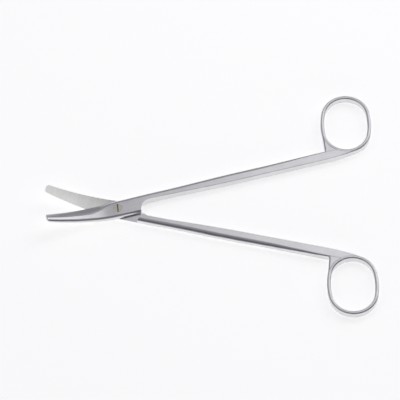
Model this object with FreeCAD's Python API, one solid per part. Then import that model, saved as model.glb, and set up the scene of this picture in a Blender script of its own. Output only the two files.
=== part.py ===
"""Curved dissecting scissors of the slender pattern, 180 mm long.

Two forged halves cross at a lap joint and turn on one slotted screw. Millimetres, +Z up.
The origin is on the screw axis, at the level of the surface that the scissors lie on.
The blades point to -X and rise towards +Z, and the finger rings are at +X.

Each half is worked out in its closed position, where its shank lies along +X, and is then
turned about the screw to the opening. The lower half is the upper half turned over about X,
apart from the blade, which rises with its partner.
"""
import FreeCAD, Part
import math
import os

from FreeCAD import Vector

# Opening at rest, in degrees between the two halves.
OPENING = 27.1

# Lap joint.
HALF_THICKNESS = 2.25
JOINT_PLAY = 0.08
SHOULDER_GAP = 0.3
JOINT_BACK = 5.35
JOINT_EDGE = 5.0
CROTCH_RADIUS = 5.2
CROTCH_REACH = 17.0
CROTCH_TURN = 70.0
LAP_OVERRUN = 2.5

# Blades: sizes are measured from the screw axis and, across, from the closed centre line.
BLADE_REACH = 38.4
TIP_BACK = 2.4
TIP_EDGE = 2.0
TIP_THICKNESS = 1.45
TAPER_SOFTNESS = 4.0
TIP_CORNER = 1.8
TIP_EDGE_ROUND = 0.6
EDGE_LAND = 0.3
BACK_ROUND = 1.5
UNDER_ROUND = 0.5
GRIND_SHARE = 0.58
GRIND_START = 2.0
GRIND_RUN = 14.0

# Rise of the blades: a short bend ahead of the joint, then one long curve.
BEND_MARGIN = 0.25
BEND_RADIUS = 25.0
BEND_RUN = 3.4
BLADE_CURVE_RADIUS = 100.0

# Shanks.
SHANK_ROOT_WIDTH = 4.1
SHANK_ROOT_INSET = 1.1
SHANK_ROOT_REACH = 24.0
SHANK_WIDTH = 5.5
SHANK_FULL_REACH = 62.0
SHANK_END_WIDTH = 5.1
SHANK_INSET = 0.2
SHANK_EDGE_BREAK = 0.25
SHANK_ROOT_BREAK = 0.05
SHANK_BREAK_RUN = 12.0
SHANK_END_THICKNESS = 4.4
SHANK_END_ROUND = 0.8
SHANK_SQUARING = 40.0
SHANK_FLARE = 18.6
SHANK_FLARE_RADIUS = 143.0
SHANK_RUN_IN = 0.9
SHANK_SINK = 0.05
SHANK_FADE = 6.0

# Finger rings.
RING_REACH = 128.6
RING_INSET = 1.36
RING_HOLE_LENGTH = 30.8
RING_HOLE_WIDTH = 22.8
RING_BAND = 2.0
RING_ROUND = 0.75
RING_END_FULLNESS = 0.968
RING_THICKNESS = 4.5
RING_LEAN = 76.0
WEB_TURN = 7.0
WEB_RADIUS = 1.0
WEB_ROUND = 1.0
WEB_THICKNESS = 4.3
WEB_BITE = 0.08

# Joint screw.
HEAD_DIAMETER = 4.8
HEAD_RIM = 0.15
HEAD_SINK = 0.05
PIVOT_DIAMETER = 2.8
THREAD_DIAMETER = 2.5
TURNING_CLEARANCE = 0.03
SCREW_END_CHAMFER = 0.15
SLOT_WIDTH = 0.6
SLOT_DEPTH = 0.65
SLOT_ANGLE = 95.0

# Values that follow from the sizes above.
MID = HALF_THICKNESS
TOP = 2 * HALF_THICKNESS
SHANK_START = CROTCH_REACH + LAP_OVERRUN
SHANK_END = RING_REACH + SHANK_RUN_IN
WEB_REACH = RING_REACH - RING_HOLE_WIDTH / 2 - RING_BAND
FLAT_RADIUS = max(JOINT_BACK, JOINT_EDGE) + BEND_MARGIN
BEND_ANGLE = math.asin(BEND_RUN / BEND_RADIUS)
MARGIN = 3.0

# Fullness of a corner's curve: a quarter circle, and a slack curve that is nearly a flat.
ROUND = 0.5523
FLAT = 0.25

# Strips across a corner and across a ring's rounded edge, and sections along the plate, the
# blade and the shank.
CORNER_STRIPS = 3
EDGE_STRIPS = 3
PLATE_SECTIONS = 4
BLADE_SECTIONS = 10
SHANK_SECTIONS = 13

UP = Vector(0, 0, 1)
UPPER = 1
LOWER = -1


def mix(a, b, share):
    """Value a share of the way from a to b, with the share kept between 0 and 1."""
    share = min(max(share, 0.0), 1.0)
    return a + (b - a) * share


def ease(share):
    """Smooth step from 0 to 1 with level ends."""
    share = min(max(share, 0.0), 1.0)
    return share * share * (3 - 2 * share)


def taper(reach):
    """Share of the blade's taper reached at a distance from the screw, with a level start."""
    start = BLADE_REACH + TAPER_SOFTNESS
    return reach ** 2 / (reach + TAPER_SOFTNESS) * start / BLADE_REACH ** 2


def blade_sides(reach):
    """Distances of the blade's back and cutting edge from the closed centre line."""
    share = taper(reach)
    return JOINT_BACK + (TIP_BACK - JOINT_BACK) * share, JOINT_EDGE + (TIP_EDGE - JOINT_EDGE) * share


def rise(radius):
    """Height of the mating face above the joint's mid-plane at a radius from the screw."""
    if radius <= FLAT_RADIUS:
        return 0.0
    if radius <= FLAT_RADIUS + BEND_RUN:
        return BEND_RADIUS - math.sqrt(BEND_RADIUS ** 2 - (radius - FLAT_RADIUS) ** 2)
    bend_rise = BEND_RADIUS * (1 - math.cos(BEND_ANGLE))
    run = BLADE_CURVE_RADIUS * math.sin(BEND_ANGLE) + radius - FLAT_RADIUS - BEND_RUN
    drop = math.sqrt(BLADE_CURVE_RADIUS ** 2 - run ** 2)
    return bend_rise + BLADE_CURVE_RADIUS * math.cos(BEND_ANGLE) - drop


def section(x, side, back, edge, top, bottom, rounds):
    """Outline of a half at x, as the poles of the strips that run round it.

    back and edge are its limits across, top and bottom its heights above the mating face,
    in the upper half's sense. rounds holds (across, high, fullness) for the corners at
    top back, top edge, bottom edge and bottom back. A flat strip has two poles, and a
    corner is a cubic curve tangent to both of its sides, divided into CORNER_STRIPS.
    """
    level = MID + rise(-x)

    def at(y, w):
        return Vector(x, side * y, level + side * w)

    def corner(start, middle, end, fullness):
        def mixed(point, towards):
            return point + (towards - point) * fullness

        strips = []
        for number in range(CORNER_STRIPS):
            curve = Part.BezierCurve()
            curve.setPoles([start, mixed(start, middle), mixed(end, middle), end])
            curve.segment(number / CORNER_STRIPS, (number + 1) / CORNER_STRIPS)
            strips.append(curve.getPoles())
        return strips

    (tb_a, tb_h, tb_f), (te_a, te_h, te_f), (be_a, be_h, be_f), (bb_a, bb_h, bb_f) = rounds
    bottom_start, bottom_end = at(back + bb_a, bottom), at(edge - be_a, bottom)
    edge_start, edge_end = at(edge, bottom + be_h), at(edge, top - te_h)
    top_start, top_end = at(edge - te_a, top), at(back + tb_a, top)
    back_start, back_end = at(back, top - tb_h), at(back, bottom + bb_h)
    return [
        [bottom_start, bottom_end],
        *corner(bottom_end, at(edge, bottom), edge_start, be_f),
        [edge_start, edge_end],
        *corner(edge_end, at(edge, top), top_start, te_f),
        [top_start, top_end],
        *corner(top_end, at(back, top), back_start, tb_f),
        [back_start, back_end],
        *corner(back_end, at(back, bottom), bottom_start, bb_f),
    ]


def skinned(sections):
    """Solid through a row of sections, each strip one smooth surface along the row."""
    ends = (sections[0], sections[-1])
    reaches = [abs(strips[0][0].x - ends[0][0][0].x) for strips in sections]
    faces = []
    for strip in range(len(ends[0])):
        tracks = []
        for pole in range(len(ends[0][strip])):
            track = Part.BSplineCurve()
            track.interpolate(Points=[strips[strip][pole] for strips in sections], Parameters=reaches)
            tracks.append(track)
        across, along = len(tracks) - 1, tracks[0]
        surface = Part.BSplineSurface()
        surface.buildFromPolesMultsKnots(
            [track.getPoles() for track in tracks], [across + 1, across + 1], along.getMultiplicities(),
            [0.0, 1.0], along.getKnots(), False, False, across, along.Degree)
        faces.append(surface.toShape())
    for strips in ends:
        edges = []
        for poles in strips:
            curve = Part.BezierCurve()
            curve.setPoles(poles)
            edges.append(curve.toShape())
        faces.append(Part.Face(Part.Wire(edges)))
    shell = Part.Shell(faces)
    shell.sewShape()
    return Part.Solid(shell.Shells[0] if shell.ShapeType == "Compound" else shell)


def prism(edges, low, high):
    """Solid between two heights over a closed outline drawn at z = 0."""
    face = Part.Face(Part.Wire(edges))
    solid = face.extrude(Vector(0, 0, high - low))
    solid.translate(Vector(0, 0, low))
    return solid


def turned_over(solid):
    """The same solid turned half round the X axis at the joint's mid-plane."""
    copy = solid.copy()
    copy.rotate(Vector(0, 0, MID), Vector(1, 0, 0), 180)
    return copy


def shank_sides(x):
    """Inner and outer limits of the shank at x, across from the closed centre line."""
    inner = mix(SHANK_ROOT_INSET, SHANK_INSET,
                ease((x - SHANK_START) / (SHANK_FULL_REACH - SHANK_START)))
    growth = ease((x - SHANK_ROOT_REACH) / (SHANK_FULL_REACH - SHANK_ROOT_REACH))
    width = mix(SHANK_ROOT_WIDTH, SHANK_WIDTH, growth)
    width += (SHANK_END_WIDTH - SHANK_WIDTH) * ease((x - SHANK_FULL_REACH) / (RING_REACH - SHANK_FULL_REACH))
    flare = max(x - RING_REACH + SHANK_FLARE, 0.0) ** 2 / (2 * SHANK_FLARE_RADIUS)
    return inner + flare, inner + width


def blade_and_plate(side):
    """Blade and lap plate before their inner face is cut, from the tip to the crotch."""
    full = HALF_THICKNESS - JOINT_PLAY
    side_round = (full, full, ROUND)
    root_edge = shank_sides(SHANK_START)[1]
    sections = []
    plate_end = HEAD_DIAMETER / 2
    for step in range(PLATE_SECTIONS):
        share = 1 - step / (PLATE_SECTIONS - 1)
        edge = mix(JOINT_EDGE, root_edge, ease(share))
        sections.append(section(
            mix(plate_end, SHANK_START, share), side, -JOINT_BACK, edge, HALF_THICKNESS, -HALF_THICKNESS,
            ((BACK_ROUND, full, ROUND), side_round, side_round, side_round)))
    last = BLADE_REACH + MARGIN
    for step in range(BLADE_SECTIONS):
        reach = last * step / (BLADE_SECTIONS - 1)
        back, edge = blade_sides(reach)
        thick = HALF_THICKNESS + (TIP_THICKNESS - HALF_THICKNESS) * taper(reach)
        grind = ease((reach - GRIND_START) / GRIND_RUN)
        across = mix(full, GRIND_SHARE * (back + edge), grind)
        high = thick - mix(JOINT_PLAY, EDGE_LAND, grind)
        under = (mix(full, UNDER_ROUND, grind), mix(full, UNDER_ROUND, grind), ROUND)
        sections.append(section(-reach, side, -back, edge, thick, -HALF_THICKNESS, (
            (BACK_ROUND, thick - JOINT_PLAY, ROUND), (across, high, mix(ROUND, FLAT, grind)), under, under)))
    return skinned(sections)


def shank(side):
    """Slender shank, flat inside and half round outside, that grows square into the ring."""
    sections = []
    for step in range(SHANK_SECTIONS):
        x = mix(SHANK_START, SHANK_END, step / (SHANK_SECTIONS - 1))
        inner, outer = shank_sides(x)
        thinning = ease((x - SHANK_FULL_REACH) / (WEB_REACH - SHANK_FULL_REACH))
        half = mix(HALF_THICKNESS, SHANK_END_THICKNESS / 2, thinning)
        swallowed = ease((x - SHANK_END + SHANK_FADE) / SHANK_FADE)
        inner += swallowed * SHANK_SINK
        break_size = mix(SHANK_ROOT_BREAK, SHANK_EDGE_BREAK, (x - SHANK_START) / SHANK_BREAK_RUN)
        break_size = mix(break_size, RING_ROUND, swallowed)
        inside = (break_size, break_size, ROUND)
        squared = ease((x - WEB_REACH + SHANK_SQUARING) / SHANK_SQUARING)
        outer_round = mix(half - JOINT_PLAY, SHANK_END_ROUND, squared)
        outside = (outer_round, outer_round, ROUND)
        sections.append(section(x, side, inner, outer, half, -half, (inside, outside, outside, inside)))
    return skinned(sections)


def lap_end(inset):
    """Plan curve of a lap plate's end, from the shank's inner side out past the back.

    It is an arc that leaves the shank's inner side and runs on straight to the back.
    A positive inset draws the partner's shoulder, that far inside the arc.
    """
    centre = Vector(CROTCH_REACH, SHANK_ROOT_INSET - CROTCH_RADIUS, 0)
    radius = CROTCH_RADIUS - inset

    def on_arc(degrees):
        turn = math.radians(degrees)
        return centre + Vector(-radius * math.sin(turn), radius * math.cos(turn), 0)

    arc = Part.Arc(on_arc(0), on_arc(CROTCH_TURN / 2), on_arc(CROTCH_TURN)).toShape()
    turn = math.radians(CROTCH_TURN)
    run = (on_arc(CROTCH_TURN).y + JOINT_BACK + MARGIN) / math.sin(turn)
    last = on_arc(CROTCH_TURN) - Vector(math.cos(turn), math.sin(turn), 0) * run
    return arc, Part.makeLine(on_arc(CROTCH_TURN), last), on_arc(0), last


def crotch_tool():
    """What is cut from the upper half beyond the end of its lap plate."""
    arc, straight, first, last = lap_end(0.0)
    far = SHANK_START + MARGIN
    return prism([
        arc, straight,
        Part.makeLine(last, Vector(far, last.y, 0)),
        Part.makeLine(Vector(far, last.y, 0), Vector(far, first.y, 0)),
        Part.makeLine(Vector(far, first.y, 0), first),
    ], -MARGIN, TOP + MARGIN)


def seat_tool():
    """What is cut under the upper half's plate, back to its shoulder, to seat the lower half."""
    arc, straight, first, last = lap_end(SHOULDER_GAP)
    flip = FreeCAD.Matrix()
    flip.scale(1, -1, 1)
    wall = Part.Wire([arc, straight]).transformGeometry(flip)
    first, last = Vector(first.x, -first.y, 0), Vector(last.x, -last.y, 0)
    width = last.y
    return prism(list(wall.Edges) + [
        Part.makeLine(last, Vector(0, width, 0)),
        Part.makeLine(Vector(0, width, 0), Vector(0, -width, 0)),
        Part.makeLine(Vector(0, -width, 0), Vector(first.x, -width, 0)),
        Part.makeLine(Vector(first.x, -width, 0), first),
    ], -MARGIN, MID + JOINT_PLAY / 2)


def blade_face_tool(side):
    """What is cut off a half beyond its inner face, ahead of the screw.

    The face is turned about the screw axis, so the blades pass without binding.
    """
    level = MID + side * JOINT_PLAY / 2
    far_level = MID - side * (HALF_THICKNESS + MARGIN) if side == UPPER else TOP + 8 * MARGIN
    outer = BLADE_REACH + 2 * MARGIN

    def at(radius):
        return Vector(-radius, 0, level + rise(radius))

    bend_end = FLAT_RADIUS + BEND_RUN
    centre, start = Vector(0, 0, level), at(FLAT_RADIUS)
    corners = [at(outer), Vector(-outer, 0, far_level), Vector(0, 0, far_level), centre]
    edges = [
        Part.makeLine(centre, start),
        Part.Arc(start, at(FLAT_RADIUS + BEND_RUN / 2), at(bend_end)).toShape(),
        Part.Arc(at(bend_end), at((bend_end + outer) / 2), at(outer)).toShape(),
    ]
    edges += [Part.makeLine(a, b) for a, b in zip(corners, corners[1:])]
    face = Part.Face(Part.Wire(edges))
    face.rotate(Vector(0, 0, 0), UP, -90)
    return face.revolve(Vector(0, 0, 0), UP, 180)


def nose_tool(side):
    """What is cut off the blade's end, to leave a blunt tip with rounded corners and eased edges."""
    reach = BLADE_REACH - TIP_CORNER
    back, edge = blade_sides(reach)
    slope = math.atan((rise(BLADE_REACH) - rise(reach)) / TIP_CORNER)
    depth, wide = MARGIN, back + edge + MARGIN
    block = Part.makeBox(TIP_CORNER + MARGIN, back + edge, TIP_THICKNESS + depth,
                         Vector(-TIP_CORNER, -(back + edge) / 2, -depth))
    upright = [line for line in block.Edges
               if line.BoundBox.XMax < 0 and line.BoundBox.ZLength > TIP_THICKNESS]
    block = block.makeFillet(TIP_CORNER, upright)
    rim = [line for line in block.Edges
           if line.BoundBox.ZMin > TIP_THICKNESS / 2 and line.BoundBox.XMin < MARGIN / 2]
    kept = block.makeFillet(TIP_EDGE_ROUND, rim).fuse(
        Part.makeBox(wide, 2 * wide, 2 * wide, Vector(0, -wide, -wide)))
    tool = Part.makeBox(2 * wide, 2 * wide, 2 * wide, Vector(-2 * wide, -wide, -wide)).cut(kept)
    tool.translate(Vector(0, (edge - back) / 2, 0))
    if side == LOWER:
        tool.rotate(Vector(0, 0, 0), Vector(1, 0, 0), 180)
    tool.rotate(Vector(0, 0, 0), Vector(0, 1, 0), math.degrees(slope))
    tool.translate(Vector(-reach, 0, MID + rise(reach)))
    return tool


def ring_arcs():
    """Centre line of the upper half's finger ring: an oval of four tangent arcs.

    Gives (centre, radius, first angle, turn) for each arc, in order round the oval, in
    degrees. The end arcs nearly have half the ring's width as their radius, and the side
    arcs follow from the hole.
    """
    long_half = (RING_HOLE_LENGTH + RING_BAND) / 2
    short_half = (RING_HOLE_WIDTH + RING_BAND) / 2
    end_radius = RING_END_FULLNESS * short_half
    end_offset = long_half - end_radius
    side_radius = (end_offset ** 2 + short_half ** 2 - end_radius ** 2) / (2 * (short_half - end_radius))
    side_offset = side_radius - short_half
    end_angle = math.degrees(math.atan2(side_offset, end_offset))
    lean = math.radians(RING_LEAN)
    along = Vector(math.cos(lean), math.sin(lean), 0)
    across = Vector(-math.sin(lean), math.cos(lean), 0)
    inward = end_radius + end_offset * math.sin(lean)
    middle = Vector(RING_REACH, RING_INSET + RING_BAND / 2 + inward, MID)
    arcs = []
    for way, facing in ((1, RING_LEAN), (-1, RING_LEAN + 180)):
        end, side = middle + along * way * end_offset, middle - across * way * side_offset
        arcs.append((end, end_radius, facing - end_angle, 2 * end_angle))
        arcs.append((side, side_radius, facing + end_angle, 180 - 2 * end_angle))
    return arcs


def on_circle(centre, radius, degrees):
    """Point on a level circle."""
    angle = math.radians(degrees)
    return centre + Vector(math.cos(angle), math.sin(angle), 0) * radius


def ring_path():
    """Closed wire along the ring's centre line."""
    return Part.Wire([
        Part.Arc(*(on_circle(centre, radius, first + turn * share) for share in (0, 0.5, 1))).toShape()
        for centre, radius, first, turn in ring_arcs()])


def quarter_round(centre, start, end):
    """Edges of a quarter circle from centre + start to centre + end."""
    steps = 2 * EDGE_STRIPS
    angles = [math.pi / 2 * step / steps for step in range(steps + 1)]
    points = [centre + start * math.cos(angle) + end * math.sin(angle) for angle in angles]
    return [Part.Arc(*points[step:step + 3]).toShape() for step in range(0, steps, 2)]


def finger_ring():
    """Oval finger ring: a band with well rounded edges, turned about each arc's centre."""
    sectors = []
    for centre, radius, first, turn in ring_arcs():
        core = on_circle(centre, radius, first)
        out = (core - centre).normalize()
        reach, high = out * (RING_BAND / 2 - RING_ROUND), UP * (RING_THICKNESS / 2 - RING_ROUND)
        bend, lift = out * RING_ROUND, UP * RING_ROUND
        turns = [(core + reach + high, bend, lift), (core - reach + high, lift, -bend),
                 (core - reach - high, -bend, -lift), (core + reach - high, -lift, bend)]
        edges = []
        for (corner, start, end), (following, coming, _) in zip(turns, turns[1:] + turns[:1]):
            edges += quarter_round(corner, start, end)
            edges.append(Part.makeLine(corner + end, following + coming))
        sectors.append(Part.Face(Part.Wire(edges)).revolve(centre, UP, turn))
    return sectors[0].fuse(sectors[1:]).toNurbs()


def inside_ring():
    """Everything within the ring's centre line, which the shank's end is cut with."""
    loop = Part.Face(ring_path())
    loop.translate(Vector(0, 0, -MID - MARGIN))
    return loop.extrude(Vector(0, 0, TOP + 2 * MARGIN))


def ring_web():
    """Flat web in the corner between the shank's outer side and the ring.

    Its straight wall runs off the ring's side and turns into the shank in a tight corner.
    It bites a little into the ring and the shank, and is cut together with the shank's end.
    """
    lean = math.radians(RING_LEAN + WEB_TURN)
    down = Vector(-math.cos(lean), -math.sin(lean), 0)
    outward = Vector(-math.sin(lean), math.cos(lean), 0)
    side_centre, side_radius, _, _ = ring_arcs()[1]
    wall_top = side_centre + outward * (side_radius + RING_BAND / 2 - WEB_BITE)
    wall_top.z = 0
    shank_side = shank_sides(WEB_REACH)[1]
    level = shank_side + WEB_RADIUS - WEB_BITE
    length = (wall_top.y + outward.y * WEB_RADIUS - level) / math.sin(lean)
    centre = wall_top + down * length + outward * WEB_RADIUS
    turns = [mix(RING_LEAN + WEB_TURN - 90, -90, share) for share in (0, 0.5, 1)]
    wall_foot, corner_end = on_circle(centre, WEB_RADIUS, turns[0]), on_circle(centre, WEB_RADIUS, turns[2])
    inside_shank = Vector(corner_end.x, shank_side - SHANK_END_WIDTH / 2, 0)
    outline = [corner_end, inside_shank, Vector(RING_REACH, inside_shank.y, 0),
               Vector(RING_REACH, wall_top.y, 0), wall_top, wall_foot]
    plate = prism(
        [Part.makeLine(a, b) for a, b in zip(outline, outline[1:])]
        + [Part.Arc(*(on_circle(centre, WEB_RADIUS, turn) for turn in turns)).toShape()],
        MID - WEB_THICKNESS / 2, MID + WEB_THICKNESS / 2)
    rim = [line for line in plate.Edges
           if line.BoundBox.ZLength < WEB_BITE and line.BoundBox.YMin > inside_shank.y + WEB_BITE
           and line.BoundBox.XMax < RING_REACH - RING_HOLE_WIDTH / 2]
    return plate.makeFillet(WEB_ROUND, rim)


def screw_profile(clearance):
    """Half outline of the joint screw, or with a clearance, of its hole in the upper half."""
    head, pivot, thread = HEAD_DIAMETER / 2, PIVOT_DIAMETER / 2, THREAD_DIAMETER / 2
    top = TOP - HEAD_SINK
    cone = top - HEAD_RIM - (head - pivot)
    foot = MID - JOINT_PLAY / 2
    if clearance:
        points = [(0, -MARGIN), (pivot + clearance, -MARGIN), (pivot + clearance, cone),
                  (head + clearance, top - HEAD_RIM), (head + clearance, TOP + MARGIN), (0, TOP + MARGIN)]
    else:
        points = [(0, 0), (thread - SCREW_END_CHAMFER, 0), (thread, SCREW_END_CHAMFER), (thread, foot),
                  (pivot, foot), (pivot, cone), (head, top - HEAD_RIM), (head, top), (0, top)]
    corners = [Vector(r, 0, z) for r, z in points]
    face = Part.Face(Part.makePolygon(corners + corners[:1]))
    return face.revolve(Vector(0, 0, 0), UP, 360)


def joint_screw():
    """Slotted countersunk joint screw, in the lower half's place."""
    screw = screw_profile(0.0)
    length = 2 * HEAD_DIAMETER
    slot = Part.makeBox(length, SLOT_WIDTH, SLOT_DEPTH + MARGIN,
                        Vector(-length / 2, -SLOT_WIDTH / 2, TOP - HEAD_SINK - SLOT_DEPTH))
    slot.rotate(Vector(0, 0, 0), UP, SLOT_ANGLE)
    return screw.cut(slot)


def scissor_half(side):
    """One forged half in its closed position: blade, lap plate, shank and finger ring."""
    lap = blade_and_plate(side)
    handle = shank(side)
    tools = [crotch_tool(), seat_tool()]
    ring, web, inside = finger_ring(), ring_web(), inside_ring()
    if side == LOWER:
        tools = [turned_over(tool) for tool in tools]
        ring, web, inside = turned_over(ring), turned_over(web), turned_over(inside)
    lap = lap.cut(tools[0]).cut(blade_face_tool(side)).cut(nose_tool(side))
    return lap.fuse(handle.fuse(web).cut(inside)).fuse(ring).cut(tools[1])


def upper_half():
    """The half that lies on top, with the countersunk hole for the screw's head."""
    half = scissor_half(UPPER).cut(screw_profile(TURNING_CLEARANCE))
    half.rotate(Vector(0, 0, 0), UP, OPENING / 2)
    return half


def lower_half():
    """The half beneath, with the threaded hole that holds the screw."""
    hole = Part.makeCylinder(THREAD_DIAMETER / 2, TOP + 2 * MARGIN, Vector(0, 0, -MARGIN))
    half = scissor_half(LOWER).cut(hole)
    half.rotate(Vector(0, 0, 0), UP, -OPENING / 2)
    return half


def main():
    """Build each piece and write it as one STEP file."""
    os.makedirs("parts", exist_ok=True)
    pieces = {
        "upper_half": upper_half(),
        "lower_half": lower_half(),
        "joint_screw": joint_screw(),
    }
    for name, shape in pieces.items():
        solid = shape.Solids[0] if len(shape.Solids) == 1 else shape
        solid.exportStep(os.path.join("parts", name + ".step"))
        box = solid.BoundBox
        print(name, "solids", len(shape.Solids), "valid", shape.isValid(), "volume", round(shape.Volume, 2),
              "box", [round(v, 2) for v in (box.XMin, box.YMin, box.ZMin, box.XMax, box.YMax, box.ZMax)])


main()
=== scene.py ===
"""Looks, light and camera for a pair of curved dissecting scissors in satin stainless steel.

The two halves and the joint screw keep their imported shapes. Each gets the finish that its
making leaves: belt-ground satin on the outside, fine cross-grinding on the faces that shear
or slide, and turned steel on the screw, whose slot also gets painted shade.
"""
import logging
import math
from dataclasses import dataclass, field
from enum import Enum
from typing import Any

import bmesh
import bpy
from mathutils import Matrix, Vector

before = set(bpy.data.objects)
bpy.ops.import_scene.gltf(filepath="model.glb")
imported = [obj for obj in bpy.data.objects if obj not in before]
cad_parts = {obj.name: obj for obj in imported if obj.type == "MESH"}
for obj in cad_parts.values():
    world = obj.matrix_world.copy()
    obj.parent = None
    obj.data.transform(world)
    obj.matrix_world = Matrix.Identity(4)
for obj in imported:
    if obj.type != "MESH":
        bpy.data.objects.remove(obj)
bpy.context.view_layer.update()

log = logging.getLogger("dissecting_scissors")

MILLIMETRE = 0.001
# Distance between two rings of the Wave texture at a scale of 1.
WAVE_PERIOD = math.pi / 10


def linear(hex_colour: str) -> tuple[float, float, float, float]:
    """Turn an sRGB hex colour into Blender's linear colour.

    Args:
        hex_colour: Six hex digits, with or without a leading #.

    Returns:
        Red, green, blue and an alpha of 1.
    """
    digits = hex_colour.lstrip("#")
    channels = []
    for start in (0, 2, 4):
        value = int(digits[start:start + 2], 16) / 255
        channels.append(value / 12.92 if value <= 0.04045 else ((value + 0.055) / 1.055) ** 2.4)
    return (*channels, 1.0)


def add_node(tree: bpy.types.NodeTree, kind: str, settings: dict[str, Any] | None = None,
             inputs: dict[Any, Any] | None = None) -> bpy.types.Node:
    """Add one node, set its properties, and set or link its inputs.

    Args:
        tree: The node tree of a material or world.
        kind: The node's type, such as ShaderNodeMath.
        settings: Properties of the node by name.
        inputs: Input values by socket name or number. An output socket is linked instead.

    Returns:
        The new node.
    """
    node = tree.nodes.new(kind)
    for name, value in (settings or {}).items():
        setattr(node, name, value)
    for key, value in (inputs or {}).items():
        socket = node.inputs[key]
        if isinstance(value, bpy.types.NodeSocket):
            tree.links.new(value, socket)
        else:
            socket.default_value = value
    return node


class Half(Enum):
    """The two forged halves, by the side that each one's inner face looks to."""

    UPPER = "upper_half"
    LOWER = "lower_half"


@dataclass(frozen=True)
class SatinStainless:
    """Martensitic stainless steel, belt-ground and then satin-brushed along its length.

    To the eye it is a soft silver sheen: the belt leaves fine lines along the shanks, which
    draw reflections out across them. The shearing and sliding faces are surface-ground, a
    shade warmer and flatter, with lines that run across the blade.
    """

    name: str = "satin_ground_stainless"
    steel: str = "#EAE9EA"
    ground_face: str = "#E0DFDC"
    roughness: float = 0.30
    ground_roughness: float = 0.36
    uneven_roughness: float = 0.04
    # Real belt lines are about 0.05 mm wide, too fine to show, so they are drawn this coarse.
    line_length: float = 14.0
    line_width: float = 0.45
    line_depth: float = 0.006
    line_strength: float = 0.25
    # Part of the noise that the lines and clouds use, and the tones that it is spread over.
    line_span: tuple[float, float] = (0.25, 0.75)
    line_tones: tuple[float, float] = (0.90, 1.06)
    cloud_size: float = 9.0
    cloud_span: tuple[float, float] = (0.3, 0.7)
    cloud_tones: tuple[float, float] = (0.96, 1.04)
    # Turn of the half in plan, and the side that its inner face looks to: 1 up, -1 down.
    turn: float = 0.0
    face_up: float = 1.0
    # Least upward part of a normal that still counts as the inner face.
    face_limit: float = 0.85

    def material(self) -> bpy.types.Material:
        """Build the finish for a half whose shank is turned by `turn` degrees in plan."""
        material = bpy.data.materials.new(self.name)
        material.use_nodes = True
        tree = material.node_tree
        tree.nodes.clear()

        place = add_node(tree, "ShaderNodeTexCoord")
        along = add_node(tree, "ShaderNodeMapping", inputs={
            "Vector": place.outputs["Object"], "Rotation": (0, 0, -math.radians(self.turn))})
        lines = self._lines(tree, along.outputs["Vector"], self.line_length, self.line_width)
        cross = self._lines(tree, along.outputs["Vector"], self.line_width, self.line_length / 2)
        ground = self._ground_mask(tree, along.outputs["Vector"])
        clouds = add_node(tree, "ShaderNodeTexNoise", inputs={
            "Vector": along.outputs["Vector"], "Scale": 1 / (self.cloud_size * MILLIMETRE),
            "Detail": 3.0, "Roughness": 0.6})

        pattern = add_node(tree, "ShaderNodeMix", {"data_type": "FLOAT"}, {
            "Factor": ground, "A": lines, "B": cross})
        colour = add_node(tree, "ShaderNodeMix", {"data_type": "RGBA"}, {
            "Factor": ground, "A": linear(self.steel), "B": linear(self.ground_face)})
        tone = add_node(tree, "ShaderNodeMapRange", inputs={
            "Value": pattern.outputs[0], "From Min": self.line_span[0], "From Max": self.line_span[1],
            "To Min": self.line_tones[0], "To Max": self.line_tones[1]})
        cloud_tone = add_node(tree, "ShaderNodeMapRange", inputs={
            "Value": clouds.outputs["Fac"], "From Min": self.cloud_span[0], "From Max": self.cloud_span[1],
            "To Min": self.cloud_tones[0], "To Max": self.cloud_tones[1]})
        shade = add_node(tree, "ShaderNodeMath", {"operation": "MULTIPLY"}, {
            0: tone.outputs["Result"], 1: cloud_tone.outputs["Result"]})
        tinted = add_node(tree, "ShaderNodeVectorMath", {"operation": "SCALE"}, {
            "Vector": colour.outputs["Result"], "Scale": shade.outputs["Value"]})
        rough = add_node(tree, "ShaderNodeMix", {"data_type": "FLOAT"}, {
            "Factor": ground, "A": self.roughness, "B": self.ground_roughness})
        uneven = add_node(tree, "ShaderNodeMapRange", inputs={
            "Value": pattern.outputs[0], "To Min": -self.uneven_roughness,
            "To Max": self.uneven_roughness})
        roughness = add_node(tree, "ShaderNodeMath", {"operation": "ADD"}, {
            0: rough.outputs[0], 1: uneven.outputs["Result"]})
        bump = add_node(tree, "ShaderNodeBump", inputs={
            "Strength": self.line_strength, "Distance": self.line_depth * MILLIMETRE,
            "Height": pattern.outputs[0]})
        steel = add_node(tree, "ShaderNodeBsdfPrincipled", inputs={
            "Base Color": tinted.outputs["Vector"], "Metallic": 1.0,
            "Roughness": roughness.outputs["Value"], "Normal": bump.outputs["Normal"]})
        add_node(tree, "ShaderNodeOutputMaterial", inputs={"Surface": steel.outputs["BSDF"]})
        return material

    def _lines(self, tree: bpy.types.NodeTree, vector: bpy.types.NodeSocket, length: float,
               width: float) -> bpy.types.NodeSocket:
        """Grinding lines as noise drawn out along the half's own X.

        Args:
            tree: The material's node tree.
            vector: Position in the half's own direction.
            length: Size of a line along the half, in millimetres.
            width: Size of a line across it, in millimetres.

        Returns:
            The lines' height, from 0 to 1.
        """
        stretched = add_node(tree, "ShaderNodeMapping", inputs={
            "Vector": vector,
            "Scale": (1 / (length * MILLIMETRE), 1 / (width * MILLIMETRE), 1 / (width * MILLIMETRE))})
        noise = add_node(tree, "ShaderNodeTexNoise", inputs={
            "Vector": stretched.outputs["Vector"], "Scale": 1.0, "Detail": 4.0, "Roughness": 0.65})
        return noise.outputs["Fac"]

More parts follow.
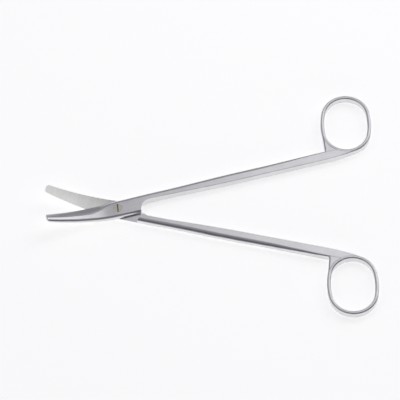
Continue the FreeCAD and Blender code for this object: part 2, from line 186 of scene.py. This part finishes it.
    def _ground_mask(self, tree: bpy.types.NodeTree, vector: bpy.types.NodeSocket) -> bpy.types.NodeSocket:
        """Where the surface is a ground inner face: ahead of the joint and facing the partner.

        Args:
            tree: The material's node tree.
            vector: Position in the half's own direction.

        Returns:
            1 on the ground face and 0 elsewhere.
        """
        axes = add_node(tree, "ShaderNodeSeparateXYZ", inputs={"Vector": vector})
        ahead = add_node(tree, "ShaderNodeMath", {"operation": "LESS_THAN"}, {
            0: axes.outputs["X"], 1: 0.0})
        facing = add_node(tree, "ShaderNodeNewGeometry")
        facing_axes = add_node(tree, "ShaderNodeSeparateXYZ", inputs={
            "Vector": facing.outputs["True Normal"]})
        towards = add_node(tree, "ShaderNodeMath", {"operation": "MULTIPLY"}, {
            0: facing_axes.outputs["Z"], 1: self.face_up})
        level = add_node(tree, "ShaderNodeMath", {"operation": "GREATER_THAN"}, {
            0: towards.outputs["Value"], 1: self.face_limit})
        both = add_node(tree, "ShaderNodeMath", {"operation": "MULTIPLY"}, {
            0: ahead.outputs["Value"], 1: level.outputs["Value"]})
        return both.outputs["Value"]


@dataclass(frozen=True)
class TurnedStainless:
    """Stainless steel screw stock, faced in a lathe and polished on the head.

    To the eye the head is a small bright disc, a shade warmer than the satin halves, with
    fine rings round the axis from the facing tool and a rougher milled slot painted darker as painted
    shade in its recess.
    """

    name: str = "turned_stainless"
    steel: str = "#DEDBCF"
    # Painted shade: the slot is coloured darker to stand in for the shade in its recess.
    slot_painted_shade: str = "#8C887C"
    roughness: float = 0.24
    slot_roughness: float = 0.5
    # Real facing rings are about 0.1 mm apart, too fine to show, so they are drawn this coarse.
    ring_spacing: float = 0.5
    ring_depth: float = 0.005
    ring_strength: float = 0.3
    ring_tones: tuple[float, float] = (0.94, 1.03)
    # The slot's turn in plan, a width just past its walls, and a level between floor and head.
    slot_turn: float = 95.0
    slot_width: float = 0.62
    slot_top: float = 4.42

    def material(self) -> bpy.types.Material:
        """Build the finish, centred on the screw's axis, with the milled slot rougher and darkened by
        painted shade.
        """
        material = bpy.data.materials.new(self.name)
        material.use_nodes = True
        tree = material.node_tree
        tree.nodes.clear()
        place = add_node(tree, "ShaderNodeTexCoord")
        slot = self._slot_mask(tree, place.outputs["Object"])
        rings = add_node(tree, "ShaderNodeTexWave", {
            "wave_type": "RINGS", "rings_direction": "Z", "wave_profile": "SAW"}, {
            "Vector": place.outputs["Object"], "Scale": WAVE_PERIOD / (self.ring_spacing * MILLIMETRE),
            "Distortion": 0.6, "Detail": 1.0})
        tone = add_node(tree, "ShaderNodeMapRange", inputs={
            "Value": rings.outputs["Fac"], "To Min": self.ring_tones[0], "To Max": self.ring_tones[1]})
        # The slot's darker colour is painted shade; its higher roughness is the milled finish.
        colour = add_node(tree, "ShaderNodeMix", {"data_type": "RGBA"}, {
            "Factor": slot, "A": linear(self.steel), "B": linear(self.slot_painted_shade)})
        tinted = add_node(tree, "ShaderNodeVectorMath", {"operation": "SCALE"}, {
            "Vector": colour.outputs["Result"], "Scale": tone.outputs["Result"]})
        roughness = add_node(tree, "ShaderNodeMix", {"data_type": "FLOAT"}, {
            "Factor": slot, "A": self.roughness, "B": self.slot_roughness})
        bump = add_node(tree, "ShaderNodeBump", inputs={
            "Strength": self.ring_strength, "Distance": self.ring_depth * MILLIMETRE,
            "Height": rings.outputs["Fac"]})
        steel = add_node(tree, "ShaderNodeBsdfPrincipled", inputs={
            "Base Color": tinted.outputs["Vector"], "Metallic": 1.0, "Roughness": roughness.outputs[0],
            "Normal": bump.outputs["Normal"]})
        add_node(tree, "ShaderNodeOutputMaterial", inputs={"Surface": steel.outputs["BSDF"]})
        return material

    def _slot_mask(self, tree: bpy.types.NodeTree, vector: bpy.types.NodeSocket) -> bpy.types.NodeSocket:
        """Where the surface lies within the driver slot, which gets the rougher finish and the painted
        shade.

        Args:
            tree: The material's node tree.
            vector: Position on the screw.

        Returns:
            1 within the slot and 0 elsewhere.
        """
        turned = add_node(tree, "ShaderNodeMapping", inputs={
            "Vector": vector, "Rotation": (0, 0, -math.radians(self.slot_turn))})
        axes = add_node(tree, "ShaderNodeSeparateXYZ", inputs={"Vector": turned.outputs["Vector"]})
        across = add_node(tree, "ShaderNodeMath", {"operation": "ABSOLUTE"}, {0: axes.outputs["Y"]})
        within = add_node(tree, "ShaderNodeMath", {"operation": "LESS_THAN"}, {
            0: across.outputs["Value"], 1: self.slot_width / 2 * MILLIMETRE})
        below = add_node(tree, "ShaderNodeMath", {"operation": "LESS_THAN"}, {
            0: axes.outputs["Z"], 1: self.slot_top * MILLIMETRE})
        both = add_node(tree, "ShaderNodeMath", {"operation": "MULTIPLY"}, {
            0: within.outputs["Value"], 1: below.outputs["Value"]})
        return both.outputs["Value"]


@dataclass
class Scissors:
    """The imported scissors, dressed piece by piece."""

    # Half of the angle that the two halves stand open, in degrees.
    half_opening: float = 13.55
    nodes: dict[str, bpy.types.Object] = field(default_factory=dict)

    def dress(self) -> None:
        """Give each piece the finish that its making leaves, and the screw's slot its painted shade."""
        for half in Half:
            upper = half is Half.UPPER
            finish = SatinStainless(
                name=f"satin_ground_stainless_{half.value}",
                turn=self.half_opening if upper else -self.half_opening,
                face_up=-1.0 if upper else 1.0)
            self._apply(half.value, finish.material())
        self._apply("joint_screw", TurnedStainless().material())

    def _apply(self, node: str, material: bpy.types.Material) -> None:
        """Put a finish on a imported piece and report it.

        Args:
            node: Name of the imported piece.
            material: The finish.
        """
        slots = self.nodes[node].material_slots
        for slot in slots:
            slot.material = material
        log.info("%s: %s", node, material.name)


@dataclass
class Studio:
    """White table, a toned room with soft boxes, and the photograph's camera."""

    # Side of the table in metres, and the light added to its paper for the lens and the steel.
    table_size: float = 4.0
    table_white: str = "#FCFCFB"
    table_glow: float = 0.63
    # Angles in degrees, distance and aim in metres, lens and sensor in millimetres.
    camera_elevation: float = 60.0
    camera_roll: float = -1.25
    camera_distance: float = 1.9
    camera_reach: float = 20.0
    aim: tuple[float, float, float] = (0.0429, 0.005, 0.00225)
    focal_length: float = 327.6
    sensor_width: float = 36.0
    # Angle from the camera's horizon over the zenith to the far horizon, and the tone there.
    room: tuple[tuple[float, str], ...] = (
        (0.0, "#FFFFFF"),
        (10.0, "#F0F0F4"),
        (24.0, "#403E48"),
        (56.0, "#403E48"),
        (84.0, "#89888D"),
        (116.0, "#949398"),
        (132.0, "#ABABB1"),
        (150.0, "#84848C"),
        (180.0, "#84848C"))
    # How far aside the room starts and ends to darken, and the share of its light left there.
    side_reach: tuple[float, float] = (0.62, 0.92)
    side_share: float = 0.15
    # Name, place and size in metres, and power in watts.
    softboxes: tuple[tuple[str, tuple[float, float, float], tuple[float, float], float], ...] = (
        ("ring_side_softbox", (0.16, 0.26, 0.50), (0.30, 0.26), 0.15),
        ("left_softbox", (-2.4, -0.6, 1.8), (3.0, 3.0), 9.0),
        ("right_softbox", (1.1, 0.75, 0.9), (1.0, 1.0), 2.8))

    def build(self) -> None:
        """Make the table, the light and the camera."""
        self._table()
        self._surround()
        self._lamps()
        self._camera()

    def _table(self) -> None:
        """White table that shows white to the lens and in the steel, and keeps the shadow."""
        mesh = bpy.data.meshes.new("table")
        shape = bmesh.new()
        bmesh.ops.create_grid(shape, x_segments=1, y_segments=1, size=self.table_size / 2)
        shape.to_mesh(mesh)
        shape.free()
        table = bpy.data.objects.new("table", mesh)
        bpy.context.scene.collection.objects.link(table)
        material = bpy.data.materials.new("white_table")
        material.use_nodes = True
        tree = material.node_tree
        tree.nodes.clear()
        ray = add_node(tree, "ShaderNodeLightPath")
        seen = add_node(tree, "ShaderNodeMath", {"operation": "MAXIMUM"}, {
            0: ray.outputs["Is Camera Ray"], 1: ray.outputs["Is Glossy Ray"]})
        glow = add_node(tree, "ShaderNodeMath", {"operation": "MULTIPLY"}, {
            0: seen.outputs["Value"], 1: self.table_glow})
        paper = add_node(tree, "ShaderNodeBsdfDiffuse", inputs={"Color": linear(self.table_white)})
        white = add_node(tree, "ShaderNodeEmission", inputs={
            "Color": (1, 1, 1, 1), "Strength": glow.outputs["Value"]})
        both = add_node(tree, "ShaderNodeAddShader", inputs={
            0: paper.outputs["BSDF"], 1: white.outputs["Emission"]})
        add_node(tree, "ShaderNodeOutputMaterial", inputs={"Surface": both.outputs["Shader"]})
        mesh.materials.append(material)

    def _surround(self) -> None:
        """Room whose tone changes from the camera's side, over the top, to the back.

        Angles run from the horizon on the camera's side at 0, over the zenith at 90, to the
        horizon behind at 180. The room also darkens towards its two sides.
        """
        world = bpy.data.worlds.new("studio")
        bpy.context.scene.world = world
        world.use_nodes = True
        tree = world.node_tree
        tree.nodes.clear()
        sky = add_node(tree, "ShaderNodeTexCoord")
        axes = add_node(tree, "ShaderNodeSeparateXYZ", inputs={"Vector": sky.outputs["Generated"]})
        towards_camera = add_node(tree, "ShaderNodeMath", {"operation": "MULTIPLY"}, {
            0: axes.outputs["Y"], 1: -1.0})
        angle = add_node(tree, "ShaderNodeMath", {"operation": "ARCTAN2"}, {
            0: axes.outputs["Z"], 1: towards_camera.outputs["Value"]})
        place = add_node(tree, "ShaderNodeMath", {"operation": "DIVIDE", "use_clamp": True}, {
            0: angle.outputs["Value"], 1: math.pi})
        tones = add_node(tree, "ShaderNodeValToRGB", inputs={"Fac": place.outputs["Value"]})
        ramp = tones.color_ramp
        for number, (degrees, tone) in enumerate(self.room):
            stop = ramp.elements[number] if number < 2 else ramp.elements.new(1.0)
            stop.position = degrees / 180
            stop.color = linear(tone)
        aside = add_node(tree, "ShaderNodeMath", {"operation": "ABSOLUTE"}, {0: axes.outputs["X"]})
        near, far = self.side_reach
        fade = add_node(tree, "ShaderNodeMapRange", {"interpolation_type": "SMOOTHSTEP"}, {
            "Value": aside.outputs["Value"], "From Min": near, "From Max": far,
            "To Min": 1.0, "To Max": self.side_share})
        light = add_node(tree, "ShaderNodeBackground", inputs={
            "Color": tones.outputs["Color"], "Strength": fade.outputs["Result"]})
        add_node(tree, "ShaderNodeOutputWorld", inputs={"Surface": light.outputs["Background"]})

    def _lamps(self) -> None:
        """Soft boxes: one low over the ring side, which the flat tops show, and one on each side."""
        for name, place, size, power in self.softboxes:
            lamp = bpy.data.lights.new(name, "AREA")
            lamp.shape = "RECTANGLE"
            lamp.size, lamp.size_y = size
            lamp.energy = power
            holder = bpy.data.objects.new(name, lamp)
            bpy.context.scene.collection.objects.link(holder)
            holder.location = place
            holder.rotation_euler = (Vector(self.aim) - Vector(place)).to_track_quat("-Z", "Y").to_euler()

    def _camera(self) -> None:
        """Long lens, looking down at the photograph's angle, with the frame's small roll."""
        height, roll = math.radians(self.camera_elevation), math.radians(self.camera_roll)
        forward = Vector((0.0, math.cos(height), -math.sin(height)))
        level_up = Vector((0.0, math.sin(height), math.cos(height)))
        right = Vector((1.0, 0.0, 0.0)) * math.cos(roll) + level_up * math.sin(roll)
        up = level_up * math.cos(roll) - Vector((1.0, 0.0, 0.0)) * math.sin(roll)
        lens = bpy.data.cameras.new("photo_camera")
        lens.lens = self.focal_length
        lens.sensor_width = self.sensor_width
        lens.clip_end = self.camera_reach
        camera = bpy.data.objects.new("photo_camera", lens)
        bpy.context.scene.collection.objects.link(camera)
        turn = Matrix((right, up, -forward)).transposed().to_4x4()
        camera.matrix_world = Matrix.Translation(Vector(self.aim) - forward * self.camera_distance) @ turn
        bpy.context.scene.camera = camera


def main() -> None:
    """Dress the scissors and set them on the table."""
    logging.basicConfig(level=logging.INFO, format="%(name)s: %(message)s")
    bpy.context.scene.view_settings.view_transform = "Standard"
    Scissors(nodes=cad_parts).dress()
    Studio().build()


if __name__ == "__main__":
    main()
